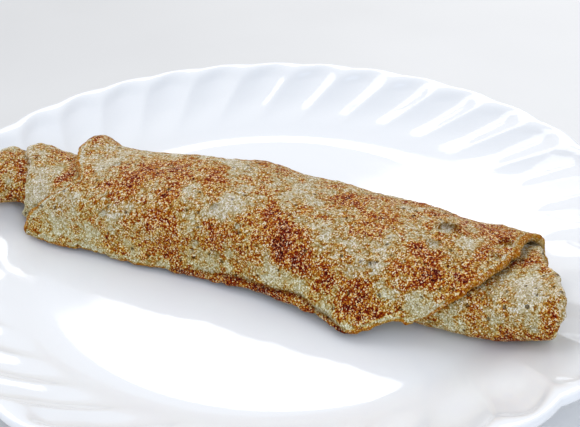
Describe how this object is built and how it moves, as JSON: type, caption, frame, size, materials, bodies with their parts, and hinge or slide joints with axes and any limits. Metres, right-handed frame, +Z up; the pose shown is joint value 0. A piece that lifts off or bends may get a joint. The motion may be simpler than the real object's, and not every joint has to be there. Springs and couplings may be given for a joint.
{
  "type": "rolled dosa on a plate",
  "caption": "Rolled dosa with browned, pitted crust and a loose flap, resting on a round white dinner plate with a fluted, scalloped rim.",
  "frame": {"origin": "middle of the plate's foot, on the surface that it stands on", "axes": "+Z up out of the plate, X along the roll, -Y towards the side where the roll's flap lies"},
  "size_m": [0.2494, 0.2498, 0.0317],
  "materials": {
    "dosa_crust": "satin",
    "plate_glaze": "gloss"
  },
  "bodies": {
    "root": {"dosa": "dosa_crust", "plate": "plate_glaze"}
  },
  "joints": []
}
